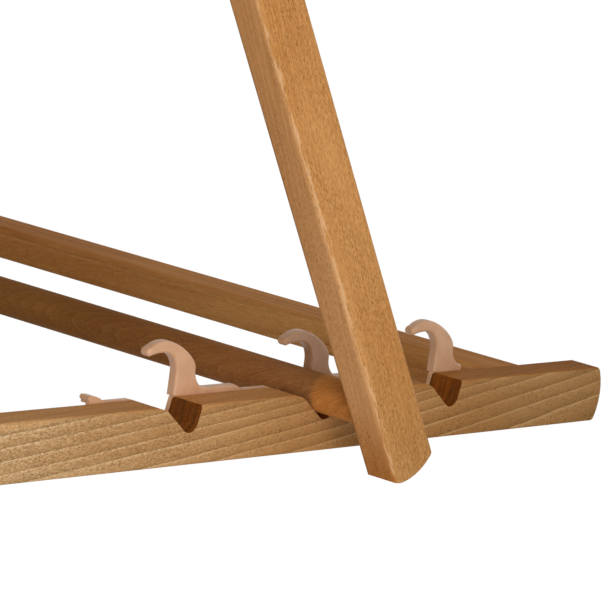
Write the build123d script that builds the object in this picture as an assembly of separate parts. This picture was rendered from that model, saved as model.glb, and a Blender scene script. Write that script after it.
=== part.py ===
from build123d import *
import math
import os

# Folding sling chair, millimetres. +Z is up, the sitter faces -Y, +X is the sitter's left.
# Three frames share one linkage: the seat frame slopes down to the rear floor, the back frame
# crosses it at the fold pivot, and the prop hangs from the back frame into a notch of the seat rails.

# Timber stock: thickness across the chair, depth in side view
seat_rail_t = 21.0
seat_rail_h = 31.0
back_rail_t = 22.0
back_rail_h = 28.0
prop_leg_t = 22.0
prop_leg_w = 31.0
rail_edge_r = 2.0
leg_edge_r = 3.5
end_dome = 4.0
end_corner_r = 1.2

# Widths across the chair
seat_inside_w = 472.0
frame_gap = 4.5
sling_w = 440.0

# Linkage lengths, measured from the fold pivot along each member
pivot_to_mid_seat = 456.0
seat_to_rear_end = 243.5
pivot_to_front_bar = 430.0
front_end_past_bar = 30.0
pivot_to_prop_pivot = 438.6
pivot_to_head_bar = 830.0
head_end_past_bar = 34.0
pivot_to_front_floor = 265.0
prop_pivot_to_bar = 425.0
prop_end_past_bar = 36.5
prop_end_past_pivot = 20.0

# Notches, seen from the side, and the bar that they hold
notch_pitch = 105.0
notch_steps = (-1, 0, 1)
notch_front_slope = 38.0
notch_rear_slope = 77.0
notch_bottom_r = 6.0
notch_front_lip_r = 14.0
notch_rear_lip_r = 1.6
prop_bar_d = 20.4
seat_clear = 0.3

# Hook strip: heights above the rail's top, lengths from the middle of the bar's seat
hook_stem_from_seat = 11.8
hook_stem_w = 14.6
hook_rise = 29.0
hook_under = 22.8
hook_bend_w = 11.5
hook_throat = 21.3
hook_tip_from_stem = 21.5
hook_tip_t = 4.6
hook_heel_w = 7.8
hook_heel_h = 10.3
hook_t = 6.0
hook_fullness = 0.39
hook_edge_r = 1.5
strip_foot_h = 2.8
strip_foot_len = 24.2
strip_foot_end = 5.2
strip_tail_len = 1.0
strip_flange_t = 2.6
strip_flange_depth = 24.0
strip_lip_h = 0.4
strip_front_len = 35.0
thumb_len = 11.5
thumb_h = 3.7
thumb_nose_r = 1.3
strip_screw_d = 3.5
strip_screw_head_d = 7.0
strip_screw_head_h = 2.2
strip_screw_len = 16.0
strip_screw_drop = 13.0
strip_screw_from_seat = 56.0
strip_screw_in_stem = 7.0

# Cross bars and their tenons
rear_bar_w = 32.0
rear_bar_h = 19.5
rear_bar_drop = 1.1
rear_bar_from_seat = 165.7
bar_edge_r = 4.0
foot_bar_w = 30.0
foot_bar_h = 17.0
foot_bar_from_floor = 46.0
sling_bar_d = 24.0
tenon_len = 12.0
tenon_shoulder = 3.5
tenon_clear = 0.1

# Pivot hardware
bolt_d = 8.0
pin_clear = 0.05
bolt_head_d = 19.0
bolt_head_h = 4.0
head_dome_share = 0.65
nut_d = 17.0
nut_h = 3.6
nut_socket_af = 5.0
nut_socket_depth = 2.2
spacer_d = 24.0
face_clear = 0.2

# Sling of woven cloth, hung between the two round bars: its length is from one bar to the other
sling_t = 1.4
sling_fit = 0.3
sling_sleeve_t = 1.4
sling_sink = 0.35
sling_hang_len = 1271.0
sling_point_pitch = 90.0
solve_tolerance = 1e-9

# Places across the chair
seat_inner_x = seat_inside_w / 2
seat_outer_x = seat_inner_x + seat_rail_t
back_inner_x = seat_outer_x + frame_gap
back_outer_x = back_inner_x + back_rail_t
leg_inner_x = back_outer_x + frame_gap
leg_outer_x = leg_inner_x + prop_leg_t
bar_r = prop_bar_d / 2
seat_r = bar_r + seat_clear

# Linkage in the seat rail's own frame: u runs to the rear along its top edge, v is square to it.
# The bar's seat lies on the top edge, and the fold pivot lies at mid depth.
pivot_v = -seat_rail_h / 2
seat_lift = math.degrees(math.atan2(-pivot_v, pivot_to_mid_seat))
pivot_to_bar = math.hypot(pivot_to_mid_seat, pivot_v)


def corner_angle(side_a, side_b, opposite):
    """Angle in degrees between two sides of a triangle."""
    cosine = (side_a ** 2 + side_b ** 2 - opposite ** 2) / (2 * side_a * side_b)
    return math.degrees(math.acos(cosine))


back_over_seat = corner_angle(pivot_to_bar, pivot_to_prop_pivot, prop_pivot_to_bar) + seat_lift

# The seat rails rest on the eased lower corner of their domed rear ends, the back rails on their cut feet
dome_r = (seat_rail_h ** 2 / 4 + end_dome ** 2) / (2 * end_dome)
dome_u = pivot_to_mid_seat + seat_to_rear_end - dome_r
corner_v = seat_rail_h / 2 - end_corner_r
corner_u = dome_u + math.sqrt((dome_r - end_corner_r) ** 2 - corner_v ** 2)
reach_u = corner_u + pivot_to_front_floor * math.cos(math.radians(back_over_seat))
reach_v = corner_v - pivot_to_front_floor * math.sin(math.radians(back_over_seat))
floor_angle = math.asin(-end_corner_r / math.hypot(reach_u, reach_v)) - math.atan2(reach_v, reach_u)
seat_slope = math.degrees(floor_angle)
back_slope = back_over_seat - seat_slope
pivot_z = pivot_to_front_floor * math.sin(math.radians(back_slope))

# The origin is the middle of the floor area, so the pivot's place follows from both ends
front_low = (pivot_to_front_bar + front_end_past_bar - dome_r) * math.cos(floor_angle) + dome_r
rear_most = dome_u * math.cos(floor_angle) + dome_r
pivot_y = (front_low - rear_most) / 2


def place(angle, distance, square=0.0):
    """Point in side view, from the fold pivot along a direction and square to it."""
    cosine = math.cos(math.radians(angle))
    sine = math.sin(math.radians(angle))
    return (pivot_y + distance * cosine - square * sine, pivot_z + distance * sine + square * cosine)


def side_location(point, angle):
    """Local x along a member, local y square to it and local z along +X."""
    direction = (0, math.cos(math.radians(angle)), math.sin(math.radians(angle)))
    return Plane(origin=(0, point[0], point[1]), x_dir=direction, z_dir=(1, 0, 0)).location


seat_angle = -seat_slope
pivot_point = (pivot_y, pivot_z)
mid_seat = place(seat_angle, pivot_to_mid_seat, -pivot_v)
prop_pivot = place(back_slope, pivot_to_prop_pivot)
head_point = place(back_slope, pivot_to_head_bar)
front_point = place(seat_angle, -pivot_to_front_bar)
prop_angle = math.degrees(math.atan2(mid_seat[1] - prop_pivot[1], mid_seat[0] - prop_pivot[0]))

# Frames for sketching each member: the seat rail's starts at the middle bar seat, on its top edge
seat_frame = side_location(mid_seat, seat_angle)
back_frame = side_location(pivot_point, back_slope)
prop_frame = side_location(prop_pivot, prop_angle)


def bar_blank(first, last, depth, thickness, near_x, edge_r, mid_v=0.0):
    """Straight member with eased long edges and domed ends, in its own frame."""
    half = depth / 2
    outline = make_face([
        Line((first + end_dome, -half), (last - end_dome, -half)),
        ThreePointArc((last - end_dome, -half), (last, 0), (last - end_dome, half)),
        Line((last - end_dome, half), (first + end_dome, half)),
        ThreePointArc((first + end_dome, half), (first, 0), (first + end_dome, -half)),
    ])
    outline = fillet(outline.vertices(), end_corner_r)
    section = Plane((first, 0, thickness / 2), x_dir=(0, 0, 1), z_dir=(1, 0, 0)).location
    stock = section * extrude(RectangleRounded(thickness, depth, edge_r), last - first)
    return Pos(0, mid_v, near_x) * (extrude(outline, thickness) & stock)


def cross_pin(x, y, diameter, near_x, far_x):
    """Round pin along local z, which also drills its hole."""
    pin = Cylinder(diameter / 2, far_x - near_x, align=(Align.CENTER, Align.CENTER, Align.MIN))
    return Pos(x, y, near_x) * pin


def notch_sketch():
    """Outline of one notch about the middle of its bar seat, with rounded lips, open above the rail."""
    front = math.radians(notch_front_slope)
    rear = math.radians(notch_rear_slope)
    front_lip = -seat_r / math.sin(front)
    rear_lip = seat_r / math.sin(rear)
    depth = (rear_lip - front_lip) / (1 / math.tan(front) + 1 / math.tan(rear))
    bottom = (front_lip + depth / math.tan(front), -depth)
    front_ease = notch_front_lip_r * math.tan(front / 2)
    rear_ease = notch_rear_lip_r * math.tan(rear / 2)
    front_start = (front_lip - front_ease, 0.0)
    front_end = (front_lip + front_ease * math.cos(front), -front_ease * math.sin(front))
    rear_start = (rear_lip - rear_ease * math.cos(rear), -rear_ease * math.sin(rear))
    rear_end = (rear_lip + rear_ease, 0.0)
    above = seat_rail_h
    shape = make_face([
        TangentArc(front_start, front_end, tangent=(1, 0)),
        Polyline(front_end, bottom, rear_start),
        TangentArc(rear_start, rear_end, tangent=(math.cos(rear), math.sin(rear))),
        Polyline(rear_end, (rear_end[0], above), (front_start[0], above), front_start),
    ])
    return fillet(shape.vertices().sort_by(Axis.Y)[0], notch_bottom_r)


def all_notches(thickness, near_x):
    """Cutters for the three notches of a rail or strip."""
    cutter = Pos(0, 0, near_x) * extrude(notch_sketch(), thickness)
    return [Pos(step * notch_pitch, 0, 0) * cutter for step in notch_steps]


def flat_tenon_bar(width, height, inside_w, x_center, y_center):
    """Flat cross bar with a tenon at each end, and the mortise cutter that takes it."""
    body = Pos(x_center, y_center) * Box(width, height, inside_w)
    body = fillet(body.edges().filter_by(Axis.Z), bar_edge_r)
    tenon_w = width - 2 * tenon_shoulder
    tenon_h = height - 2 * tenon_shoulder
    tenon_r = tenon_h / 2 - tenon_clear
    tenon = extrude(RectangleRounded(tenon_w, tenon_h, tenon_r), inside_w / 2 + tenon_len, both=True)
    body += Pos(x_center, y_center) * tenon
    hole = RectangleRounded(tenon_w + 2 * tenon_clear, tenon_h + 2 * tenon_clear, tenon_r)
    mortise = extrude(hole, inside_w / 2 + tenon_len + tenon_clear, both=True)
    return body, Pos(x_center, y_center) * mortise


def round_tenon_bar(diameter, inside_w, x_center, y_center):
    """Round cross bar with a turned tenon at each end, and the cutter for its blind holes."""
    tenon_d = diameter - 2 * tenon_shoulder
    body = Cylinder(diameter / 2, inside_w) + Cylinder(tenon_d / 2, inside_w + 2 * tenon_len)
    hole = Cylinder(tenon_d / 2 + tenon_clear, inside_w + 2 * tenon_len + 2 * tenon_clear)
    return Pos(x_center, y_center) * body, Pos(x_center, y_center) * hole


def both_sides(name, part):
    """A left piece and its mirror image."""
    return {name + "_left": part, name + "_right": mirror(part, about=Plane.YZ)}


def hook_profile():
    """One hook with its foot, about its bar seat: a stem behind the bar that curls over it."""
    front = hook_stem_from_seat
    rear = front + hook_stem_w
    crown_u = front - hook_bend_w
    tip_u = front - hook_tip_from_stem
    tip_top = hook_throat + hook_tip_t
    heel_top = strip_foot_h + hook_heel_h
    foot_start = rear + hook_heel_w
    foot_stop = foot_start + strip_foot_len
    toe_u = foot_stop + strip_foot_end
    bend_start = hook_under - hook_bend_w
    inner_stem = Line((front, -strip_lip_h), (front, bend_start))
    inner_bend = TangentArc((front, bend_start), (crown_u, hook_under), tangent=(0, 1))
    inner_tip = TangentArc((crown_u, hook_under), (tip_u, hook_throat), tangent=(-1, 0))
    tip_front = (tip_u - hook_tip_t / 2, (hook_throat + tip_top) / 2)
    tip = ThreePointArc((tip_u, hook_throat), tip_front, (tip_u, tip_top))
    crown = TangentArc((crown_u, hook_rise), (tip_u, tip_top), tangent=(-1, 0))
    shoulder_start = (crown_u + hook_fullness * (rear - crown_u), hook_rise)
    shoulder_end = (rear, heel_top + hook_fullness * (hook_rise - heel_top))
    shoulder = Bezier((crown_u, hook_rise), shoulder_start, shoulder_end, (rear, heel_top))
    heel = TangentArc((rear, heel_top), (foot_start, strip_foot_h), tangent=(0, -1))
    foot = Line((foot_start, strip_foot_h), (foot_stop, strip_foot_h))
    toe = Line((foot_stop, strip_foot_h), (toe_u, 0))
    under_foot = Polyline((toe_u, 0), (toe_u, -strip_lip_h), (front, -strip_lip_h))
    return make_face([inner_stem, inner_bend, inner_tip, tip, crown, shoulder, heel, foot, toe, under_foot])


def thumb_profile(front_u):
    """Low stop at the front end of the strip: a nose over a neck, falling to the rear."""
    neck_u = front_u + thumb_nose_r
    nose_low = thumb_h - 2 * thumb_nose_r
    rear_u = front_u + thumb_len
    neck = Line((neck_u, -strip_lip_h), (neck_u, nose_low))
    nose = ThreePointArc((neck_u, nose_low), (front_u, thumb_h - thumb_nose_r), (neck_u, thumb_h))
    fall = TangentArc((neck_u, thumb_h), (rear_u, strip_lip_h), tangent=(1, 0))
    base = Polyline((rear_u, strip_lip_h), (rear_u, -strip_lip_h), (neck_u, -strip_lip_h))
    return make_face([neck, nose, fall, base])


def hook_strip():
    """Moulded strip on the inner face of a seat rail, with its screw places."""
    first_seat = notch_steps[0] * notch_pitch
    last_seat = notch_steps[-1] * notch_pitch
    front_u = first_seat - seat_r / math.sin(math.radians(notch_front_slope)) - strip_front_len
    rear_u = last_seat + hook_stem_from_seat + hook_stem_w + hook_heel_w + strip_tail_len
    flange_x = seat_inner_x - strip_flange_t
    hook_x = seat_inner_x - hook_t
    flange_h = strip_flange_depth + strip_lip_h
    flange = Rectangle(rear_u - front_u - thumb_nose_r, flange_h, align=(Align.MAX, Align.MAX))
    flange = Pos(rear_u, strip_lip_h) * fillet(flange.vertices(), hook_edge_r)
    strip = Pos(0, 0, flange_x) * extrude(flange, strip_flange_t)
    for cutter in all_notches(hook_t, hook_x):
        strip -= cutter
    hook = extrude(hook_profile(), hook_t)
    side_edges = hook.faces().sort_by(Axis.Z)[0].edges() + hook.faces().sort_by(Axis.Z)[-1].edges()
    rims = [edge for edge in side_edges if edge.center().Y > hook_edge_r]
    hook = Pos(0, 0, hook_x) * fillet(rims, hook_edge_r)
    behind_tail = Pos(rear_u, 0, hook_x) * Box(
        2 * notch_pitch, 2 * hook_rise, hook_t, align=(Align.MIN, Align.CENTER, Align.MIN)
    )
    for step in notch_steps:
        strip += Pos(step * notch_pitch, 0, 0) * hook - behind_tail
    strip += Pos(0, 0, hook_x) * extrude(thumb_profile(front_u), hook_t)
    places = [front_u + thumb_len / 2]
    places += [step * notch_pitch + strip_screw_from_seat for step in notch_steps[:-1]]
    places += [last_seat + hook_stem_from_seat + strip_screw_in_stem]
    return strip, places


def strip_screw(u):
    """Pan-head wood screw, driven outwards through the strip into the rail."""
    seat_x = seat_inner_x - strip_flange_t
    head = Pos(u, -strip_screw_drop, seat_x - strip_screw_head_h) * Cylinder(
        strip_screw_head_d / 2, strip_screw_head_h, align=(Align.CENTER, Align.CENTER, Align.MIN)
    )
    head = fillet(head.edges().group_by(Axis.Z)[0], strip_screw_head_h / 2)
    slot = Box(strip_screw_d, strip_screw_d / 4, strip_screw_head_h)
    head -= Pos(u, -strip_screw_drop, seat_x - strip_screw_head_h) * (slot + Rot(0, 0, 90) * slot)
    return head + cross_pin(u, -strip_screw_drop, strip_screw_d, seat_x, seat_x + strip_screw_len)


def domed_head(diameter, height):
    """Low domed head on local z, flat side at zero."""
    dome_h = height * head_dome_share
    sphere_r = ((diameter / 2) ** 2 + dome_h ** 2) / (2 * dome_h)
    disc = Cylinder(diameter / 2, height, align=(Align.CENTER, Align.CENTER, Align.MIN))
    return disc & Pos(0, 0, height - sphere_r) * Sphere(sphere_r)


def pivot_bolt(head_x, end_x):
    """Coach bolt along +X with its domed head on the inner side."""
    shank = cross_pin(0, 0, bolt_d, head_x, end_x)
    return shank + Pos(0, 0, head_x) * Rot(180, 0, 0) * domed_head(bolt_head_d, bolt_head_h)


def sleeve_nut(seat_x, bolt_end_x):
    """Low cap nut over the bolt's end, with a hexagon socket in its crown."""
    cap = domed_head(nut_d, nut_h)
    socket = Pos(0, 0, nut_h - nut_socket_depth) * extrude(
        RegularPolygon(nut_socket_af / 2, 6, major_radius=False), nut_socket_depth
    )
    bore_depth = bolt_end_x - seat_x + face_clear
    bore = Cylinder(bolt_d / 2, 2 * bore_depth)
    return Pos(0, 0, seat_x) * (cap - socket - bore)


def spacer(near_x, length):
    """Plain nylon ring on a pivot bolt."""
    ring = Circle(spacer_d / 2) - Circle(bolt_d / 2 + pin_clear)
    return Pos(0, 0, near_x) * extrude(ring, length)


def hanging_curve(start, end, length):
    """Points and slope angles of a cloth that hangs between two points, a catenary."""
    span = end[0] - start[0]
    rise = end[1] - start[1]
    target = math.sqrt(length ** 2 - rise ** 2) / span
    half = math.sqrt(6 * (target - 1))
    error = math.sinh(half) / half - target
    while abs(error) > solve_tolerance:
        half -= error * half ** 2 / (half * math.cosh(half) - math.sinh(half))
        error = math.sinh(half) / half - target
    scale = span / (2 * half)
    lowest = (start[0] + end[0]) / 2 - scale * math.atanh(rise / length)
    drop = start[1] - scale * math.cosh((start[0] - lowest) / scale)
    count = round(span / sling_point_pitch)
    points = []
    for index in range(count + 1):
        y = start[0] + span * index / count
        angle = math.atan(math.sinh((y - lowest) / scale))
        points.append((y, drop + scale * math.cosh((y - lowest) / scale), angle))
    return points


def touch_point(center, radius, angle):
    """Where a cloth that runs at an angle touches the top of a round bar."""
    return (center[0] - radius * math.sin(angle), center[1] + radius * math.cos(angle))


def sling_curve():
    """Middle of the cloth, which leaves each sleeve along its own slope."""
    touch_r = sling_bar_d / 2 + sling_fit + sling_sleeve_t / 2 - sling_sink
    start_angle = 0.0
    end_angle = 0.0
    change = 1.0
    while change > solve_tolerance:
        start = touch_point(front_point, touch_r, start_angle)
        end = touch_point(head_point, touch_r, end_angle)
        points = hanging_curve(start, end, sling_hang_len)
        change = abs(points[0][2] - start_angle) + abs(points[-1][2] - end_angle)
        start_angle = points[0][2]
        end_angle = points[-1][2]
    return points


def sling_sheet():
    """Cloth hung from its two sewn sleeves, one round each bar."""
    points = sling_curve()
    half = sling_t / 2
    upper = [(y - half * math.sin(a), z + half * math.cos(a)) for y, z, a in points]
    lower = [(y + half * math.sin(a), z - half * math.cos(a)) for y, z, a in points]
    sheet = make_face([
        Spline(upper),
        Line(upper[-1], lower[-1]),
        Spline(lower[::-1]),
        Line(lower[0], upper[0]),
    ])
    inner_r = sling_bar_d / 2 + sling_fit
    for center in (front_point, head_point):
        sheet += Pos(*center) * Circle(inner_r + sling_sleeve_t)
    for center in (front_point, head_point):
        sheet -= Pos(*center) * Circle(inner_r)
    solid = extrude(sheet, sling_w / 2, both=True)
    return Plane(origin=(0, 0, 0), x_dir=(0, 1, 0), z_dir=(1, 0, 0)).location * solid


def build():
    """Every piece of the chair by name."""
    pieces = {}
    pivot_u = -pivot_to_mid_seat
    hole_d = bolt_d + 2 * pin_clear
    below_floor = Pos(0, 0, -seat_to_rear_end) * Box(
        4 * seat_inside_w, 4 * pivot_to_head_bar, 2 * seat_to_rear_end
    )

    # Seat frame
    rear_bar_u = rear_bar_from_seat + rear_bar_w / 2
    rear_bar_v = -rear_bar_drop - rear_bar_h / 2
    rear_bar, rear_mortise = flat_tenon_bar(rear_bar_w, rear_bar_h, seat_inside_w, rear_bar_u, rear_bar_v)
    front_bar_u = pivot_u - pivot_to_front_bar
    front_bar, front_holes = round_tenon_bar(sling_bar_d, seat_inside_w, front_bar_u, pivot_v)
    strip, screw_places = hook_strip()
    screws = [strip_screw(u) for u in screw_places]
    seat_rail = bar_blank(
        front_bar_u - front_end_past_bar,
        seat_to_rear_end,
        seat_rail_h,
        seat_rail_t,
        seat_inner_x,
        rail_edge_r,
        pivot_v,
    )
    seat_rail -= all_notches(seat_rail_t, seat_inner_x)
    seat_rail -= [rear_mortise, front_holes]
    seat_rail -= cross_pin(pivot_u, pivot_v, hole_d, seat_inner_x, seat_outer_x)
    for u in screw_places:
        screw_bottom = seat_inner_x - strip_flange_t + strip_screw_len + tenon_clear
        seat_rail -= cross_pin(u, -strip_screw_drop, strip_screw_d, seat_inner_x, screw_bottom)
        strip -= cross_pin(u, -strip_screw_drop, strip_screw_d, seat_inner_x - hook_t, seat_inner_x)
    pieces.update(both_sides("seat_rail", seat_frame * seat_rail))
    pieces.update(both_sides("hook_strip", seat_frame * strip))
    pieces.update(both_sides("strip_screws", Compound(children=[seat_frame * screw for screw in screws])))
    pieces["rear_cross_bar"] = seat_frame * rear_bar
    pieces["front_sling_bar"] = seat_frame * front_bar

    # Back frame
    foot_u = -pivot_to_front_floor + foot_bar_from_floor
    back_inside_w = 2 * back_inner_x
    foot_bar, foot_mortise = flat_tenon_bar(foot_bar_w, foot_bar_h, back_inside_w, foot_u, 0)
    head_bar, head_holes = round_tenon_bar(sling_bar_d, back_inside_w, pivot_to_head_bar, 0)
    back_rail = bar_blank(
        -pivot_to_front_floor - back_rail_h,
        pivot_to_head_bar + head_end_past_bar,
        back_rail_h,
        back_rail_t,
        back_inner_x,
        rail_edge_r,
    )
    back_rail -= [foot_mortise, head_holes]
    back_rail -= cross_pin(0, 0, hole_d, back_inner_x, back_outer_x)
    back_rail -= cross_pin(pivot_to_prop_pivot, 0, hole_d, back_inner_x, back_outer_x)
    pieces.update(both_sides("back_rail", back_frame * back_rail - below_floor))
    pieces["head_sling_bar"] = back_frame * head_bar
    pieces["foot_cross_bar"] = back_frame * foot_bar

    # Prop
    prop_bar, prop_holes = round_tenon_bar(prop_bar_d, 2 * leg_inner_x, prop_pivot_to_bar, 0)
    prop_leg = bar_blank(
        -prop_end_past_pivot,
        prop_pivot_to_bar + prop_end_past_bar,
        prop_leg_w,
        prop_leg_t,
        leg_inner_x,
        leg_edge_r,
    )
    prop_leg -= prop_holes
    prop_leg -= cross_pin(0, 0, hole_d, leg_inner_x, leg_outer_x)
    pieces.update(both_sides("prop_leg", prop_frame * prop_leg))
    pieces["prop_cross_bar"] = prop_frame * prop_bar

    # Pivot hardware: the fold bolt turns with the seat frame, the prop bolt with the back frame
    pivots = (
        ("fold", back_frame, seat_inner_x, seat_outer_x, back_outer_x),
        ("prop", prop_frame, back_inner_x, back_outer_x, leg_outer_x),
    )
    for name, frame, head_x, gap_x, nut_x in pivots:
        nut_seat_x = nut_x + face_clear
        bolt_end_x = nut_seat_x + nut_h - nut_socket_depth - face_clear
        pieces.update(both_sides(name + "_bolt", frame * pivot_bolt(head_x, bolt_end_x)))
        pieces.update(both_sides(name + "_spacer", frame * spacer(gap_x, frame_gap - face_clear)))
        pieces.update(both_sides(name + "_nut", frame * sleeve_nut(nut_seat_x, bolt_end_x)))

    pieces["sling"] = sling_sheet()
    return pieces


os.makedirs("parts", exist_ok=True)
for piece_name, piece in build().items():
    export_step(piece, os.path.join("parts", piece_name + ".step"))
print("seat slope", round(seat_slope, 2), "back slope", round(back_slope, 2))
print("prop angle", round(prop_angle, 2))
print("fold pivot", [round(v, 2) for v in pivot_point], "prop pivot", [round(v, 2) for v in prop_pivot])
print("middle bar seat", [round(v, 2) for v in mid_seat])
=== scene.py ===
import math

import bpy
import numpy as np
from mathutils import Matrix, Vector


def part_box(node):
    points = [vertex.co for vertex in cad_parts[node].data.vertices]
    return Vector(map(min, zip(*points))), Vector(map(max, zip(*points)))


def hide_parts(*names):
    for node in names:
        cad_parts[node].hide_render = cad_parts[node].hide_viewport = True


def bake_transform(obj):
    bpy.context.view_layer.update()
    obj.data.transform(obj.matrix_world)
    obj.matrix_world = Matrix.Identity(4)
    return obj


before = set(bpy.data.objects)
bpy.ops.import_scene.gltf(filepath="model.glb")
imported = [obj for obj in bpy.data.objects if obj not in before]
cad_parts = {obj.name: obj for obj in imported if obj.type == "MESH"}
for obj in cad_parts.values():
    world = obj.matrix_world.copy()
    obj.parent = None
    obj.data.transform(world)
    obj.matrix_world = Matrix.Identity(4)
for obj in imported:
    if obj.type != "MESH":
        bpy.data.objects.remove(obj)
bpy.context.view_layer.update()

# Camera, fitted to lines of the photograph
photo_px = 610
focal_px = 4320
sensor_mm = 36.0
camera_place = Vector((1.654, -1.2206, 0.9315))
camera_right = Vector((0.74728, 0.66386, -0.02925))
camera_up = Vector((-0.21559, 0.28385, 0.93432))

# Light and floor
white = (1.0, 1.0, 1.0, 1.0)
world_level = 0.43
key_level = 0.58
key_distance = 1.5
key_size = 0.8
key_from = Vector((0.85, -0.43, 0.30))
key_target = Vector((0.27, 0.27, 0.15))
floor_grey = (0.86, 0.86, 0.86, 1.0)
floor_half = 20.0
floor_drop = 0.0004
floor_glow = 0.93
floor_level = 1.06

# Sling cloth
cloth_t = 0.0011
cloth_gap = 0.0003
cloth_half_w = 0.2195
cloth_length = 1.271
hem_w = 0.016
hem_stitch_in = 0.012
sleeve_len = 0.050
seam_len = 0.012
cross_sag = 0.002
edge_draw = 0.004
stitch_len = 0.0042
stitch_step = 0.0065
stitch_w = 0.0009

# Puckers beside the bars: height, reach, how soon they rise, and waves as strength, radians and shift
pucker = 0.0007
pucker_reach = 0.07
pucker_rise = 0.02
pucker_waves = ((1.0, 31.0, 1.3), (0.6, 47.0, 0.0))

# Fineness of the cloth's mesh, and rounds in which its curve is solved
station_step = 0.008
column_count = 48
hem_columns = 4
hem_step_share = 0.004
sleeve_points = 26
stitch_rings = (0.25, 0.75)
stitch_sides = 4
stitch_lean = 0.5
touch_rounds = 30
solve_rounds = 80
least_sweep = 1e-6
most_sweep = 20.0

# A face whose normal has more of X than this looks sideways
sideways = 0.1


def srgb(red, green, blue):
    """Linear colour of a colour written in 0 to 255."""
    linear = []
    for value in (red, green, blue):
        share = value / 255
        linear.append(share / 12.92 if share <= 0.04045 else ((share + 0.055) / 1.055) ** 2.4)
    return (*linear, 1.0)


class Graph:
    """A short way to write the nodes of a material or world."""

    def __init__(self, owner):
        owner.use_nodes = True
        self.owner = owner
        self.nodes = owner.node_tree.nodes
        self.links = owner.node_tree.links
        self.nodes.clear()

    def feed(self, socket, value):
        if isinstance(value, bpy.types.NodeSocket):
            self.links.new(value, socket)
        else:
            socket.default_value = value

    def add(self, kind, inputs=None, **settings):
        node = self.nodes.new("ShaderNode" + kind)
        for key, value in settings.items():
            setattr(node, key, value)
        for key, value in (inputs or {}).items():
            self.feed(node.inputs[key], value)
        return node

    def math(self, operation, *values):
        return self.add("Math", dict(enumerate(values)), operation=operation).outputs[0]

    def vector(self, operation, *values):
        node = self.add("VectorMath", dict(enumerate(values)), operation=operation)
        return node.outputs["Value" if operation == "DOT_PRODUCT" else "Vector"]

    def mix(self, factor, first, second, blend="MIX"):
        node = self.add("Mix", data_type="RGBA", blend_type=blend, clamp_factor=True)
        self.feed(node.inputs[0], factor)
        self.feed(node.inputs[6], first)
        self.feed(node.inputs[7], second)
        return node.outputs[2]

    def scale_range(self, value, low, high, to_low=0.0, to_high=1.0):
        node = self.add("MapRange", interpolation_type="SMOOTHSTEP")
        for index, item in enumerate((value, low, high, to_low, to_high)):
            self.feed(node.inputs[index], item)
        return node.outputs[0]

    def noise(self, place, scale=1.0, detail=2.0, roughness=0.5):
        inputs = {"Vector": place, "Scale": scale, "Detail": detail, "Roughness": roughness}
        return self.add("TexNoise", inputs).outputs[0]

    def stretch(self, place, across, along):
        """Place in units of a grain that is finer across than along."""
        return self.vector("MULTIPLY", place, (across, across, along))

    def around_zero(self, value, amount):
        return self.math("MULTIPLY", self.math("SUBTRACT", value, 0.5), amount)

    def finish(self, colour, roughness, height, bump, **sockets):
        shader = self.add("BsdfPrincipled", {"Base Color": colour, "Roughness": roughness})
        for key, value in sockets.items():
            shader.inputs[key.replace("_", " ")].default_value = value
        relief = self.add("Bump", {"Height": height, "Distance": bump})
        self.links.new(relief.outputs[0], shader.inputs["Normal"])
        self.add("OutputMaterial", {0: shader.outputs[0]})
        return self.owner


def new_graph(name):
    return Graph(bpy.data.materials.new(name))


def node_points(name):
    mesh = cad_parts[name].data
    points = np.empty(3 * len(mesh.vertices))
    mesh.vertices.foreach_get("co", points)
    return points.reshape(-1, 3)


def face_direction(name):
    """Direction of the largest flat faces of a rail or leg that don't face sideways, turned upwards."""
    areas = {}
    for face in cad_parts[name].data.polygons:
        if abs(face.normal.x) < sideways:
            turn = 1 if face.normal.z > 0 else -1
            key = (round(turn * face.normal.y, 3), round(turn * face.normal.z, 3))
            areas[key] = areas.get(key, 0.0) + face.area
    return Vector((0, *max(areas, key=areas.get))).normalized()


def grain_frame(name):
    """Middle of a wooden piece, its axes, two across the grain and one along it, and its half height."""
    points = node_points(name)
    low, high = points.min(axis=0), points.max(axis=0)
    middle = (low + high) / 2
    if (high - low).argmax() == 0:
        side, upward, along = Vector((0, 1, 0)), Vector((0, 0, 1)), Vector((1, 0, 0))
    else:
        upward = face_direction(name)
        side = Vector((1, 0, 0))
        along = side.cross(upward)
        if along.y < 0:
            side, along = -side, -along
    half_height = float(((points - middle) @ np.array(upward)).max())
    return Vector(middle), side, upward, along, half_height


# Wood looks: colours, among them tints that paint light and shade onto flat faces, then sizes of the figure
# in metres and strengths of its parts
rail_wood = {
    "ground": srgb(190, 146, 94),
    "blotch": srgb(172, 122, 70),
    "pale": srgb(214, 176, 126),
    "late": srgb(144, 104, 58),
    "fleck": srgb(100, 68, 38),
    # End grain colour; on the notch floors it is partly painted shade of the recess
    "end": srgb(119, 60, 9),
    # The next two tints paint light and shade onto the faces that look up or down, the second in the stretch
    # that darkens
    "painted_face_light": (1.17, 1.00, 0.80, 1.0),
    "darker_painted_face_light": (0.90, 0.67, 0.40, 1.0),
    "ring_gap": -0.0054,
    "line_share": 0.22,
    "line_strength": 0.75,
    "late_strength": 0.70,
    "wander": 0.0026,
    "ripple": 0.0012,
    "speck_w": 0.0010,
    "speck_len": 0.0020,
    "speck": 1.0,
    "flat_speck": 0.2,
    "flat_figure": 0.35,
    "spill": 0.006,
    # How far long edges turn pale, for wear and a painted highlight on their rounding
    "edge_wear_and_highlight": 0.15,
    "streak": 0.14,
    "fleck_w": 0.0008,
    "fleck_len": 0.0028,
    "fleck_strength": 0.34,
    "fibre": 0.18,
    "notched": True,
}
plain_rail_wood = dict(rail_wood, notched=False)
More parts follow.
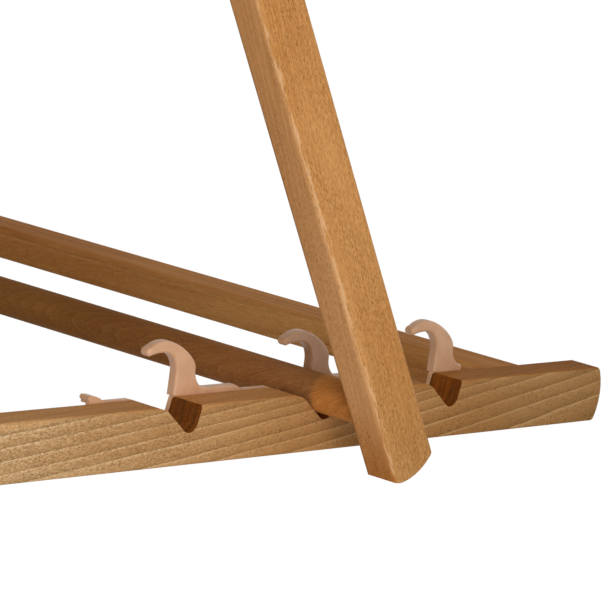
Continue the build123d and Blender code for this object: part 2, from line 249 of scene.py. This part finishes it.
leg_wood = dict(
    rail_wood,
    notched=False,
    ground=srgb(200, 144, 86),
    blotch=srgb(184, 126, 68),
    pale=srgb(222, 176, 128),
    late=srgb(170, 114, 58),
    fleck=srgb(134, 84, 40),
    # Painted light: a leg's front and back faces are tinted lighter and bluer for how light falls on them
    painted_face_light=(1.18, 1.28, 1.60, 1.0),
    flat_figure=1.0,
    flat_speck=0.4,
    spill=0.0,
    # Legs' long edges: strong wear and painted highlight
    edge_wear_and_highlight=0.75,
    ring_gap=0.0023,
    line_share=0.5,
    line_strength=0.14,
    late_strength=0.22,
    wander=0.0016,
    ripple=0.0008,
    speck_w=0.0006,
    speck_len=0.0032,
    speck=1.05,
    streak=0.18,
    fleck_w=0.0006,
    fleck_len=0.0036,
    fleck_strength=0.50,
    fibre=0.24,
)
bar_wood = dict(
    rail_wood,
    notched=False,
    ground=srgb(150, 102, 55),
    blotch=srgb(128, 78, 35),
    pale=srgb(176, 128, 80),
    late=srgb(110, 66, 28),
    fleck=srgb(72, 42, 20),
    painted_face_light=white,
    ring_gap=0.0026,
    line_share=0.15,
    line_strength=0.30,
    late_strength=0.20,
    wander=0.0060,
    ripple=0.0010,
    speck=0.55,
    speck_len=0.0060,
    flat_figure=1.0,
    spill=0.0,
    edge_wear_and_highlight=0.0,
    streak=0.26,
    fleck_strength=0.22,
    fibre=0.24,
)
flat_bar_wood = dict(
    bar_wood,
    ground=srgb(208, 151, 90),
    blotch=srgb(182, 124, 67),
    pale=srgb(220, 168, 111),
    late=srgb(154, 101, 53),
    # Painted light: the bar's top and bottom faces are tinted warmer and slightly darker for how light falls
    # on them
    painted_face_light=(0.97, 0.89, 0.82, 1.0),
    spill=0.0022,
    edge_wear_and_highlight=0.1,
    ring_gap=0.0075,
    line_strength=0.25,
)

# Tints along a board: paler and darker stretches, brighter bar ends; and painted shade on the rear hooks
paler_tint = (1.12, 1.27, 1.60, 1.0)
rest_tint = (0.95, 0.885, 0.85, 1.0)
darker_tint = (0.885, 0.93, 0.96, 1.0)
outer_bar_tint = (1.33, 1.35, 1.65, 1.0)
bar_end_tint = (1.47, 1.34, 0.94, 1.0)
painted_hook_shade = (0.85, 0.84, 0.79, 1.0)

# Counts per metre of each pattern in wood, across a board and along it
wander_grain = (16, 3.2)
ripple_grain = (170, 16)
fibre_grain = (1400, 34)
streak_grain = (260, 5)
blotch_grain = (26, 5)
crowd_grain = (90, 14)
bold_grain = (34, 9)
spill_grain = (30, 9)
edge_patch_grain = (800, 80)

# Values of a pattern between which it sets in
blotch_range = (0.3, 0.72)
crowd_range = (0.30, 0.55)
fleck_range = (0.16, 0.34)
bold_range = (0.3, 0.7)
spill_range = (0.38, 0.66)
edge_patch_range = (0.48, 0.58)

# How squarely a face looks up or along a board before it counts as flat, end or cut, or as an edge between
flat_facing = (0.6, 0.85)
end_facing = (0.35, 0.6)
cut_facing = (0.15, 0.35)
edge_facing = (0.25, 0.48)

# Wood's other strengths, and depths below a board's top in metres
ring_rhythm = 0.42
ring_unevenness = 0.9
late_power = 2.0
least_bold = 0.25
fibre_roughness = 0.6
speck_roughness = 0.7
speck_warmth = (1.0, 1.25, 1.6)
rest_speck = 0.5
least_tone = 0.1
spill_edge = 0.001
spill_share = 0.5
outer_bar_shares = (0.3, 0.9)
end_share = 0.9
cut_depths = (0.0045, 0.0025)
saw_gap = 0.0026
saw_drift = 25.0
saw_strength = 2.6
wood_rough = 0.56
wood_rough_spread = 0.22
worn_rough = -0.06
fibre_relief = 0.6
fleck_relief = 0.5
wood_relief = 0.00035
wood_specular = 0.012


class Board(Graph):
    """Nodes of one piece of timber, with its own coordinates and which way its faces look."""

    def __init__(self, node):
        super().__init__(bpy.data.materials.new("wood." + node))
        middle, side, upward, along, self.half_height = grain_frame(node)
        coordinates = self.add("TexCoord")
        placing = {
            "Vector": coordinates.outputs["Object"],
            "Location": middle,
            "Rotation": Matrix((side, upward, along)).transposed().to_euler(),
        }
        self.place = self.add("Mapping", placing, vector_type="TEXTURE").outputs[0]
        self.across, self.height, self.length = self.add("SeparateXYZ", {0: self.place}).outputs
        normal = coordinates.outputs["Normal"]
        self.facing_side = self.vector("DOT_PRODUCT", normal, side)
        self.facing_up = self.vector("DOT_PRODUCT", normal, upward)
        self.facing_end = self.math("ABSOLUTE", self.vector("DOT_PRODUCT", normal, along))

    def pattern(self, grain, detail=2.0):
        return self.noise(self.stretch(self.place, *grain), detail=detail)

    def unless(self, mask, share):
        """1 where the mask is 0, and share where it is 1."""
        return self.math("MULTIPLY_ADD", mask, share - 1, 1.0)


def growth_rings(board, look, pith, lean, bend):
    """Place along the log's own grain, and the phase of its growth rings from 0 to 1."""
    length = board.length
    across = board.math("SUBTRACT", board.across, pith[0])
    across = board.math("MULTIPLY_ADD", length, -lean[0], across)
    height = board.math("SUBTRACT", board.height, pith[1])
    height = board.math("MULTIPLY_ADD", length, -lean[1], height)
    bow = board.math("MULTIPLY", board.math("MULTIPLY", length, length), -bend)
    height = board.math("ADD", height, bow)
    squares = board.math("MULTIPLY_ADD", across, across, board.math("MULTIPLY", height, height))
    wander = board.around_zero(board.pattern(wander_grain, 3.0), look["wander"])
    distance = board.math("ADD", board.math("SQRT", squares), wander)
    ripple = board.around_zero(board.pattern(ripple_grain, 3.0), look["ripple"])
    distance = board.math("ADD", distance, ripple)
    rings = board.math("DIVIDE", distance, look["ring_gap"])
    rhythm = {"W": rings, "Scale": ring_rhythm, "Detail": 1.0}
    uneven = board.add("TexNoise", rhythm, noise_dimensions="1D").outputs[0]
    rings = board.math("ADD", rings, board.around_zero(uneven, ring_unevenness))
    grain = board.add("CombineXYZ", {0: across, 1: height, 2: length}).outputs[0]
    return grain, board.math("FRACT", rings)


def flat_faces(board, look):
    """1 on faces that look up or down, which take painted light and a plainer figure, with a ragged spill of
    both over the upper edge.
    """
    flat = board.scale_range(board.math("ABSOLUTE", board.facing_up), *flat_facing)
    if look["spill"]:
        ragged = board.scale_range(board.pattern(spill_grain, 3.0), *spill_range)
        drop = board.math("MULTIPLY_ADD", ragged, look["spill"], board.height)
        top = board.half_height
        spilt = board.scale_range(drop, top - spill_edge, top + spill_edge, 0.0, spill_share)
        flat = board.math("MAXIMUM", flat, spilt)
    return flat


def figure(board, look, phase, flat):
    """Colour of the ground, its blotches, the dark late wood and the pale line beside it."""
    clear = board.unless(flat, look["flat_figure"])
    blotch = board.scale_range(board.pattern(blotch_grain, 3.0), *blotch_range)
    colour = board.mix(blotch, look["ground"], look["blotch"])
    late = board.math("MULTIPLY", board.math("POWER", phase, late_power), look["late_strength"])
    colour = board.mix(board.math("MULTIPLY", late, clear), colour, look["late"])
    bold = board.scale_range(board.pattern(bold_grain), *bold_range, least_bold, 1.0)
    line = board.scale_range(phase, 0.0, look["line_share"], look["line_strength"], 0.0)
    line = board.math("MULTIPLY", board.math("MULTIPLY", line, bold), clear)
    return board.mix(line, colour, look["pale"])


def tints_along(board, look, colour, paler_stretch, darker_stretch, bar_end_stretch):
    """What changes along a board: its colour, the painted light tint of its flat faces and the share of its
    specks.
    """
    painted_face_light = look["painted_face_light"]
    speck_share = 1.0
    # Paler, bluer colour before this stretch, passing across it into the board's own colour
    if paler_stretch:
        paler = board.scale_range(board.length, *paler_stretch, 1.0, 0.0)
        speck_share = board.math("ADD", paler, rest_speck)
        tint = board.mix(paler, rest_tint, paler_tint)
        colour = board.mix(1.0, colour, tint, blend="MULTIPLY")
    # Darker beyond this stretch, where flat faces take a darker painted light tint too
    if darker_stretch:
        darkened = board.scale_range(board.length, *darker_stretch)
        colour = board.mix(darkened, colour, darker_tint, blend="MULTIPLY")
        painted_face_light = board.mix(darkened, painted_face_light, look["darker_painted_face_light"])
    # The bar grows brighter toward its ends, and brighter and more orange past the rails' outer faces
    if bar_end_stretch:
        from_middle = board.math("ABSOLUTE", board.length)
        first, last = (share * bar_end_stretch[0] for share in outer_bar_shares)
        toward_ends = board.scale_range(from_middle, first, last)
        colour = board.mix(toward_ends, colour, outer_bar_tint, blend="MULTIPLY")
        near_end = board.scale_range(from_middle, *bar_end_stretch)
        colour = board.mix(near_end, colour, bar_end_tint, blend="MULTIPLY")
    return colour, painted_face_light, speck_share


def fibre_shade(board, look, grain, fibre, flat, speck_share):
    """Light and dark of fibre, streaks and specks, warmer where it is darker."""
    streak = board.noise(board.stretch(grain, *streak_grain))
    tone = board.around_zero(fibre, look["fibre"])
    tone = board.math("ADD", tone, board.around_zero(streak, look["streak"]))
    speck_place = board.stretch(grain, 1 / look["speck_w"], 1 / look["speck_len"])
    speck = board.around_zero(board.noise(speck_place, roughness=speck_roughness), look["speck"])
    speck = board.math("MULTIPLY", speck, board.unless(flat, look["flat_speck"]))
    speck = board.math("MULTIPLY", speck, speck_share)
    tone = board.math("ADD", tone, speck)
    tone = board.math("MAXIMUM", board.math("ADD", tone, 1.0), least_tone)
    warm = {index: board.math("POWER", tone, power) for index, power in enumerate(speck_warmth)}
    return board.add("CombineColor", warm).outputs[0]


def flecks(board, look, grain):
    """Rays that come out as short dark flecks, in crowds."""
    place = board.stretch(grain, 1 / look["fleck_w"], 1 / look["fleck_len"])
    cells = board.add("TexVoronoi", {"Vector": place, "Scale": 1.0})
    fleck = board.scale_range(cells.outputs["Distance"], *fleck_range, 1.0, 0.0)
    crowd = board.scale_range(board.pattern(crowd_grain, 1.0), *crowd_range)
    return board.math("MULTIPLY", fleck, crowd)


def worn_highlit_edges(board):
    """1 on long rounded edges, in broken patches, which wear and a painted highlight make pale."""
    edge = board.math("ABSOLUTE", board.math("MULTIPLY", board.facing_side, board.facing_up))
    patchy = board.scale_range(board.pattern(edge_patch_grain, 4.0), *edge_patch_range)
    return board.math("MULTIPLY", board.scale_range(edge, *edge_facing), patchy)


def sawn_faces(board, look, shade):
    """Share and colour of end grain, which drinks more oil. Notch floors on notched rails take it too, as
    end grain and as painted shade of the recess, and show the saw's streaks.
    """
    end = board.scale_range(board.facing_end, *end_facing, 0.0, end_share)
    colour = board.mix(1.0, look["end"], shade, blend="MULTIPLY")
    if look["notched"]:
        low, high = (board.half_height - depth for depth in cut_depths)
        below_top = board.scale_range(board.height, low, high, end_share, 0.0)
        # Painted shade: notch floors below the rail's top take the dark end colour
        cut = board.math("MULTIPLY", below_top, board.scale_range(board.facing_up, *cut_facing))
        end = board.math("MAXIMUM", end, cut)
        streaks = board.vector("MULTIPLY", board.place, (1 / saw_gap, saw_drift, saw_drift))
        sawn = board.math("ADD", board.around_zero(board.noise(streaks), saw_strength), 1.0)
        colour = board.mix(1.0, colour, sawn, blend="MULTIPLY")
    return end, colour


def wood(node, look, pith, lean, bend, paler_stretch=None, darker_stretch=None, bar_end_stretch=None):
    """Sawn timber: growth rings about a pith line beside the board, rays as flecks, and fibre.

    pith is where the log's middle lies from the board's, across and up. lean and bend say how the
    log runs against the board's length, so that its rings come out on the faces. The stretches
    that follow say where the board passes from a paler, bluer colour into the rest, where it then
    darkens, and where a bar's ends grow brighter and more orange."""
    board = Board(node)
    grain, phase = growth_rings(board, look, pith, lean, bend)
    flat = flat_faces(board, look)
    colour = figure(board, look, phase, flat)
    colour, painted_face_light, speck_share = tints_along(board, look, colour, paler_stretch, darker_stretch, bar_end_stretch)
    fibre = board.noise(board.stretch(grain, *fibre_grain), detail=3.0, roughness=fibre_roughness)
    shade = fibre_shade(board, look, grain, fibre, flat, speck_share)
    colour = board.mix(1.0, colour, shade, blend="MULTIPLY")
    fleck = flecks(board, look, grain)
    colour = board.mix(board.math("MULTIPLY", fleck, look["fleck_strength"]), colour, look["fleck"])
    # Painted light and shade: faces that look up or down take the tint of how light falls on them
    colour = board.mix(flat, colour, painted_face_light, blend="MULTIPLY")
    wear_and_highlight = worn_highlit_edges(board)
    # Edge wear and painted highlight: long edges pass toward the pale colour in patches
    colour = board.mix(board.math("MULTIPLY", wear_and_highlight, look["edge_wear_and_highlight"]), colour, look["pale"])
    end, end_colour = sawn_faces(board, look, shade)
    colour = board.mix(end, colour, end_colour)
    rough = board.math("ADD", board.around_zero(fibre, wood_rough_spread), wood_rough)
    rough = board.math("MULTIPLY_ADD", wear_and_highlight, worn_rough, rough)
    relief = board.math("MULTIPLY", fibre, fibre_relief)
    relief = board.math("SUBTRACT", relief, board.math("MULTIPLY", fleck, fleck_relief))
    return board.finish(colour, rough, relief, wood_relief, Specular_IOR_Level=wood_specular)


def plastic(name, colour, shade, painted_shade_span=None):
    """Moulded plastic with slight flow marks. The last argument gives the stretch along Y, rearward, over
    which painted shade darkens it, as on the rear hooks.
    """
    flow_scale, grain_scale = 90, 2600
    rough, rough_spread, relief = 0.44, 0.12, 0.00008
    graph = new_graph(name)
    place = graph.add("TexCoord").outputs["Object"]
    flow = graph.noise(place, flow_scale, 3.0)
    grain = graph.noise(place, grain_scale)
    tint = graph.mix(graph.scale_range(flow, 0.3, 0.7), colour, shade)
    if painted_shade_span:
        rearward = graph.add("SeparateXYZ", {0: place}).outputs[1]
        # Painted shade: the hooks toward the rear are darkened
        tint = graph.mix(graph.scale_range(rearward, *painted_shade_span), tint, painted_hook_shade, blend="MULTIPLY")
    rough = graph.math("ADD", graph.around_zero(flow, rough_spread), rough)
    return graph.finish(tint, rough, grain, relief, Subsurface_Weight=0.06, Subsurface_Scale=0.003)


def zinc(name):
    """Zinc-plated steel, slightly cloudy and scratched."""
    cloud_scale, scratch_grain = 420, (5200, 300)
    rough, rough_spread, relief = 0.34, 0.2, 0.00004
    bright, dull = srgb(182, 182, 178), srgb(150, 151, 150)
    graph = new_graph(name)
    place = graph.add("TexCoord").outputs["Object"]
    cloud = graph.noise(place, cloud_scale, 4.0)
    scratch = graph.noise(graph.stretch(place, *scratch_grain))
    tint = graph.mix(graph.scale_range(cloud, 0.35, 0.65), bright, dull)
    rough = graph.math("ADD", graph.around_zero(cloud, rough_spread), rough)
    return graph.finish(tint, rough, scratch, relief, Metallic=1.0)


def canvas(name):
    """Plain weave over the cloth's own width and length, with painted shade where the threads dip."""
    thread_pitch = 0.0011
    slub_count, cloud_scale = 9, 7.0
    rough, relief = 0.88, 0.00022
    pale, cream = srgb(226, 213, 186), srgb(214, 198, 168)
    slub_colour, painted_dip_shade = srgb(196, 178, 146), srgb(150, 134, 106)
    graph = new_graph(name)
    place = graph.add("TexCoord").outputs["UV"]
    threads = graph.vector("MULTIPLY", place, (1 / thread_pitch, 1 / thread_pitch, 1))
    split = graph.add("SeparateXYZ", {0: threads})
    warp, weft = (
        graph.math("SINE", graph.math("MULTIPLY", graph.math("FRACT", split.outputs[axis]), math.pi))
        for axis in (0, 1)
    )
    checks = graph.add("TexChecker", {"Vector": threads, "Scale": 1.0}).outputs["Fac"]
    over = graph.add("Mix", {0: checks, 2: warp, 3: weft}, data_type="FLOAT").outputs[0]
    slub_warp = graph.vector("MULTIPLY", place, (1 / thread_pitch, slub_count, 1))
    slub_weft = graph.vector("MULTIPLY", place, (slub_count, 1 / thread_pitch, 1))
    slub = graph.math("ADD", graph.noise(slub_warp, detail=1.0), graph.noise(slub_weft, detail=1.0))
    cloud = graph.noise(place, cloud_scale, 4.0)
    tint = graph.mix(graph.scale_range(cloud, 0.3, 0.7), pale, cream)
    tint = graph.mix(graph.scale_range(slub, 0.7, 1.3, 0.0, 0.5), tint, slub_colour)
    # Painted shade: darker where each thread dips away under the crossing one
    tint = graph.mix(graph.scale_range(over, 0.0, 0.6, 0.35, 0.0), tint, painted_dip_shade)
    return graph.finish(tint, rough, over, relief, Sheen_Weight=0.25, Sheen_Roughness=0.5)


def thread(name):
    """Sewing thread with a twist."""
    twist_scale, rough, relief = 2400, 0.7, 0.0001
    pale, dark = srgb(206, 190, 158), srgb(176, 158, 124)
    graph = new_graph(name)
    place = graph.add("TexCoord").outputs["Object"]
    twist = graph.noise(place, twist_scale, 1.0)
    tint = graph.mix(graph.scale_range(twist, 0.3, 0.7), pale, dark)
    return graph.finish(tint, rough, twist, relief, Sheen_Weight=0.3)


# Boards differ in where their log lay and how it ran
boards = {
    "seat_rail_left": dict(
        look=rail_wood,
        pith=(-0.055, -0.066),
        lean=(0.040, 0.045),
        bend=0.07,
        paler_stretch=(0.12, 0.32),
        darker_stretch=(0.33, 0.52),
    ),
    "seat_rail_right": dict(look=rail_wood, pith=(0.040, -0.052), lean=(0.006, -0.035), bend=0.05),
    "back_rail_left": dict(look=plain_rail_wood, pith=(-0.030, 0.058), lean=(0.004, 0.030), bend=-0.03),
    "back_rail_right": dict(look=plain_rail_wood, pith=(0.026, 0.066), lean=(-0.008, -0.022), bend=0.03),
    "prop_leg_left": dict(
        look=leg_wood,
        pith=(-0.060, 0.050),
        lean=(0.045, -0.030),
        bend=0.01,
        darker_stretch=(0.17, 0.25),
    ),
    "prop_leg_right": dict(look=leg_wood, pith=(0.055, -0.060), lean=(-0.008, 0.010), bend=0.0),
    "rear_cross_bar": dict(look=flat_bar_wood, pith=(0.060, 0.022), lean=(0.010, 0.020), bend=0.06),
    "prop_cross_bar": dict(
        look=bar_wood,
        pith=(0.053, -0.029),
        lean=(0.24, -0.13),
        bend=1.2,
        bar_end_stretch=(0.254, 0.259),
    ),
    "front_sling_bar": dict(look=bar_wood, pith=(0.030, 0.026), lean=(0.020, -0.040), bend=0.10),
    "head_sling_bar": dict(look=bar_wood, pith=(-0.028, 0.030), lean=(-0.030, 0.050), bend=-0.12),
    "foot_cross_bar": dict(look=flat_bar_wood, pith=(0.050, -0.030), lean=(0.015, 0.030), bend=0.05),
}


def paint(node, material):
    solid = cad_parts[node]
    solid.data.materials.clear()
    solid.data.materials.append(material)


def dress_solids():
    """Gives every solid its finish."""
    for node, board in boards.items():
        paint(node, wood(node, **board))
    # Painted shade over the rear hooks, from 0.24 to 0.31 m rearward
    hook_plastic = plastic("hook_plastic", srgb(220, 173, 136), srgb(208, 159, 122), painted_shade_span=(0.24, 0.31))
    nylon = plastic("spacer_nylon", srgb(226, 222, 210), srgb(214, 208, 194))
    steel = zinc("zinc_steel")
    for side in ("left", "right"):
        paint("hook_strip_" + side, hook_plastic)
        paint("strip_screws_" + side, steel)
        for pivot in ("fold", "prop"):
            paint(f"{pivot}_spacer_{side}", nylon)
            paint(f"{pivot}_bolt_{side}", steel)
            paint(f"{pivot}_nut_{side}", steel)


def middle_of(node):
    """Middle of a cross bar in side view, and its radius."""
    low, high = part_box(node)
    return np.array(((low[1] + high[1]) / 2, (low[2] + high[2]) / 2)), (high[1] - low[1]) / 2


def catenary(start, end, length, count):
    """Points and slopes of a cloth of given length that hangs between two points."""
    span, rise = end - start
    target = math.sqrt(length ** 2 - rise ** 2) / span
    low, high = least_sweep, most_sweep
    for _ in range(solve_rounds):
        half = (low + high) / 2
        if math.sinh(half) / half < target:
            low = half
        else:
            high = half
    scale = span / (2 * low)
    lowest = (start[0] + end[0]) / 2 - scale * math.atanh(rise / length)
    first = math.sinh((start[0] - lowest) / scale)
    last = math.sinh((end[0] - lowest) / scale)
    slopes = np.linspace(first, last, count)
    y = lowest + scale * np.arcsinh(slopes)
    z = start[1] + scale * (np.sqrt(1 + slopes ** 2) - math.sqrt(1 + first ** 2))
    return np.stack((y, z), axis=1), np.arctan(slopes)


def on_bar(center, radius, slope):
    """Where a cloth that runs at a slope touches the top of a bar."""
    return center + radius * np.array((-math.sin(slope), math.cos(slope)))


def sleeve(center, radius, touch, seam, turn):
    """Cloth round a bar, from its touching point past the far side to the seam under the sling."""
    reach = seam - center
    distance = np.linalg.norm(reach)
    leave = math.atan2(reach[1], reach[0]) - turn * math.acos(radius / distance)
    begin = math.atan2(*(touch - center)[::-1])
    sweep = (leave - begin) * turn % (2 * math.pi)
    angles = begin + turn * np.linspace(0, sweep, sleeve_points)[1:]
    ring = center + radius * np.stack((np.cos(angles), np.sin(angles)), axis=1)
    count = max(2, int(np.linalg.norm(seam - ring[-1]) / station_step))
    steps = np.linspace(0, 1, count + 1)[1:, None]
    return np.concatenate((ring, ring[-1] + steps * (seam - ring[-1])))


def sling_path():
    """Side view of the cloth's middle layer, and the stretch of it between the two bars."""
    front, front_r = middle_of("front_sling_bar")
    head, head_r = middle_of("head_sling_bar")
    wrap = cloth_gap + cloth_t / 2
    count = int(cloth_length / station_step)
    slopes = np.zeros(count)
    for _ in range(touch_rounds):
        start = on_bar(front, front_r + wrap, slopes[0])
        end = on_bar(head, head_r + wrap, slopes[-1])
        span, slopes = catenary(start, end, cloth_length, count)
    normals = np.stack((-np.sin(slopes), np.cos(slopes)), axis=1)
    under = span - normals * (cloth_t + cloth_gap)
    first_seam = int(sleeve_len / station_step)
    seam_count = int(seam_len / station_step) + 1
    front_flap = under[first_seam:first_seam + seam_count]
    head_flap = under[-1 - first_seam - seam_count:-1 - first_seam][::-1]
    front_loop = sleeve(front, front_r + wrap, start, front_flap[0], 1)
    head_loop = sleeve(head, head_r + wrap, end, head_flap[0], -1)
    front_part = np.concatenate((front_loop, front_flap[1:]))[::-1]
    head_part = np.concatenate((head_loop, head_flap[1:]))
    path = np.concatenate((front_part, span, head_part))
    return path, len(front_part), len(front_part) + count


def path_normals(path):
    direction = np.gradient(path, axis=0)
    direction /= np.linalg.norm(direction, axis=1)[:, None]
    return np.stack((-direction[:, 1], direction[:, 0]), axis=1)


class Sling:
    """The cloth's shape: a side-view path, drawn in and sagging between the bars."""

    def __init__(self):
        self.path, self.first, self.last = sling_path()
        self.normals = path_normals(self.path)
        steps = np.linalg.norm(np.diff(self.path, axis=0), axis=1)
        self.along = np.concatenate(((0.0,), np.cumsum(steps)))
        free = np.clip((np.arange(len(self.path)) - self.first) / (self.last - self.first), 0, 1)
        self.slack = np.sin(math.pi * free) ** 2
        from_bar = np.minimum(free, 1 - free) * cloth_length
        fading = np.where((free > 0) & (free < 1), np.exp(-from_bar / pucker_reach), 0)
        self.near_bar = fading * np.minimum(1, from_bar / pucker_rise)

    def point(self, station, share, lift):
        """Point at a station, at a share of the half width from -1 to 1, raised off the middle layer."""
        x = share * (cloth_half_w - edge_draw * self.slack[station])
        sag = cross_sag * self.slack[station] * (1 - share ** 2)
        wave = sum(strength * math.sin(turn * share + shift) for strength, turn, shift in pucker_waves)
        lift = lift - sag + pucker * self.near_bar[station] * wave
        y, z = self.path[station] + lift * self.normals[station]
        return (x, y, z)


def columns():
    """Shares of the half width, with a column on each side of the hem's inner edge."""
    hem_share = 1 - hem_w / cloth_half_w
    inner = np.linspace(-hem_share, hem_share, column_count)
    outer = np.linspace(hem_share + hem_step_share, 1, hem_columns)
    return np.concatenate((-outer[::-1], inner, outer)), hem_share


def mesh_object(name, points, faces, material):
    mesh = bpy.data.meshes.new(name)
    mesh.from_pydata(points, [], faces)
    mesh.materials.append(material)
    piece = bpy.data.objects.new(name, mesh)
    bpy.context.scene.collection.objects.link(piece)
    return piece


def smooth(piece):
    piece.data.polygons.foreach_set("use_smooth", [True] * len(piece.data.polygons))


def sling_cloth(shape):
    """One closed sheet with doubled side hems on its underside."""
    shares, hem_share = columns()
    rows, width = len(shape.path), len(shares)
    points = []
    for layer in (1, -1):
        for row in range(rows):
            for share in shares:
                hem = cloth_t if layer < 0 and abs(share) > hem_share else 0.0
                points.append(shape.point(row, share, layer * cloth_t / 2 - hem))
    below = rows * width
    faces = []
    for row in range(rows - 1):
        for column in range(width - 1):
            corner = row * width + column
            quad = (corner, corner + 1, corner + width + 1, corner + width)
            faces.append(quad)
            faces.append(tuple(below + index for index in quad[::-1]))
    rim = list(range(width))
    rim += [row * width + width - 1 for row in range(1, rows)]
    rim += [(rows - 1) * width + column for column in range(width - 2, -1, -1)]
    rim += [row * width for row in range(rows - 2, 0, -1)]
    for index, corner in enumerate(rim):
        following = rim[(index + 1) % len(rim)]
        faces.append((corner, below + corner, below + following, following))
    piece = mesh_object("sling_cloth", points, faces, canvas("canvas"))
    uvs = piece.data.uv_layers.new(name="cloth")
    for loop in piece.data.loops:
        row, column = divmod(loop.vertex_index % below, width)
        uvs.data[loop.index].uv = (shares[column] * cloth_half_w, shape.along[row])
    smooth(piece)
    return piece


def between(shape, exact, share):
    """Point on the cloth's upper face at a station that may lie between two others."""
    low = int(exact)
    part = exact - low
    first = Vector(shape.point(low, share, cloth_t / 2))
    if part == 0:
        return first
    return first.lerp(Vector(shape.point(low + 1, share, cloth_t / 2)), part)


def stitch_lines(shape):
    """Rows of stitches along the hems and across the sleeves' seams, each stitch as its two ends."""
    lines = []
    edge = 1 - hem_stitch_in / cloth_half_w
    span = shape.along[shape.last - 1] - shape.along[shape.first]
    stations = np.arange(shape.first, shape.last)
    for share in (-edge, edge):
        for place in np.arange(stitch_step, span - stitch_step, stitch_step):
            ends = []
            for part in (place, place + stitch_len):
                exact = np.interp(part + shape.along[shape.first], shape.along[stations], stations)
                ends.append(between(shape, exact, share))
            lines.append(ends)
    seam = int((sleeve_len + seam_len / 2) / station_step)
    for station in (shape.first + seam, shape.last - 1 - seam):
        for x in np.arange(-edge, edge, stitch_step / cloth_half_w):
            stop = x + stitch_len / cloth_half_w
            lines.append([between(shape, station, x), between(shape, station, stop)])
    return lines


def sling_stitches(shape):
    """Short proud stitches, each a slim four-sided spindle."""
    points, faces = [], []
    for start, stop in stitch_lines(shape):
        axis = (stop - start).normalized()
        side = axis.cross(Vector((0, -math.sin(stitch_lean), math.cos(stitch_lean)))).normalized()
        up = side.cross(axis)
        base = len(points)
        points.append(start)
        for share in stitch_rings:
            middle = start.lerp(stop, share)
            for corner in range(stitch_sides):
                angle = corner * 2 * math.pi / stitch_sides
                points.append(middle + stitch_w / 2 * (math.cos(angle) * side + math.sin(angle) * up))
        tip = len(points)
        points.append(stop)
        for corner in range(stitch_sides):
            a = base + 1 + corner
            b = base + 1 + (corner + 1) % stitch_sides
            c, d = a + stitch_sides, b + stitch_sides
            faces += [(base, b, a), (a, b, d, c), (c, d, tip)]
    piece = mesh_object("sling_stitches", points, faces, thread("thread"))
    smooth(piece)
    return piece


def hang_sling():
    """Makes the sling's cloth and stitches, hung between its two bars, and hides the sling of the CAD model.
    """
    shape = Sling()
    cloth = sling_cloth(shape)
    stitches = sling_stitches(shape)
    for piece in (cloth, stitches):
        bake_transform(piece)
    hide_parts("sling")


def light_path_share(graph):
    """1 for what the camera sees, straight or reflected, and 0 for the light that falls on the object."""
    path = graph.add("LightPath").outputs
    seen = graph.math("MAXIMUM", path["Is Camera Ray"], path["Is Glossy Ray"])
    return graph.math("MAXIMUM", seen, path["Is Transmission Ray"])


def make_floor():
    """White floor that keeps a soft shadow."""
    graph = new_graph("floor_white")
    glow = graph.add("Emission", {"Color": white, "Strength": floor_level})
    matte = graph.add("BsdfDiffuse", {"Color": floor_grey})
    share = graph.math("MULTIPLY", light_path_share(graph), floor_glow)
    mixed = graph.add("MixShader", {0: share, 1: matte.outputs[0], 2: glow.outputs[0]})
    graph.add("OutputMaterial", {0: mixed.outputs[0]})
    corners = [(-1, -1), (1, -1), (1, 1), (-1, 1)]
    points = [(x * floor_half, y * floor_half, -floor_drop) for x, y in corners]
    mesh_object("floor", points, [(0, 1, 2, 3)], graph.owner)


def make_world():
    """White surroundings that light the object less than they show."""
    graph = Graph(bpy.data.worlds.new("studio"))
    bpy.context.scene.world = graph.owner
    strength = graph.math("MULTIPLY_ADD", light_path_share(graph), 1 - world_level, world_level)
    background = graph.add("Background", {"Color": white, "Strength": strength})
    graph.add("OutputWorld", {0: background.outputs[0]})


def make_key_light():
    """Large soft lamp beside the camera, whose level is what it adds to a white card that faces it."""
    lamp = bpy.data.lights.new("key", "AREA")
    lamp.shape = "SQUARE"
    lamp.size = key_size
    lamp.energy = key_level * math.pi ** 2 * key_distance ** 2
    holder = bpy.data.objects.new("key", lamp)
    direction = key_from.normalized()
    holder.location = key_target + direction * key_distance
    holder.rotation_mode = "QUATERNION"
    holder.rotation_quaternion = direction.to_track_quat("Z", "Y")
    bpy.context.scene.collection.objects.link(holder)


def make_camera():
    camera = bpy.data.cameras.new("camera")
    camera.sensor_width = sensor_mm
    camera.lens = sensor_mm * focal_px / photo_px
    holder = bpy.data.objects.new("camera", camera)
    back = camera_right.cross(camera_up)
    turn = Matrix((camera_right, camera_up, back)).transposed().to_4x4()
    holder.matrix_world = Matrix.Translation(camera_place) @ turn
    bpy.context.scene.collection.objects.link(holder)
    bpy.context.scene.camera = holder


bpy.context.scene.view_settings.view_transform = "Standard"
make_camera()
make_world()
make_key_light()
make_floor()
dress_solids()
hang_sling()
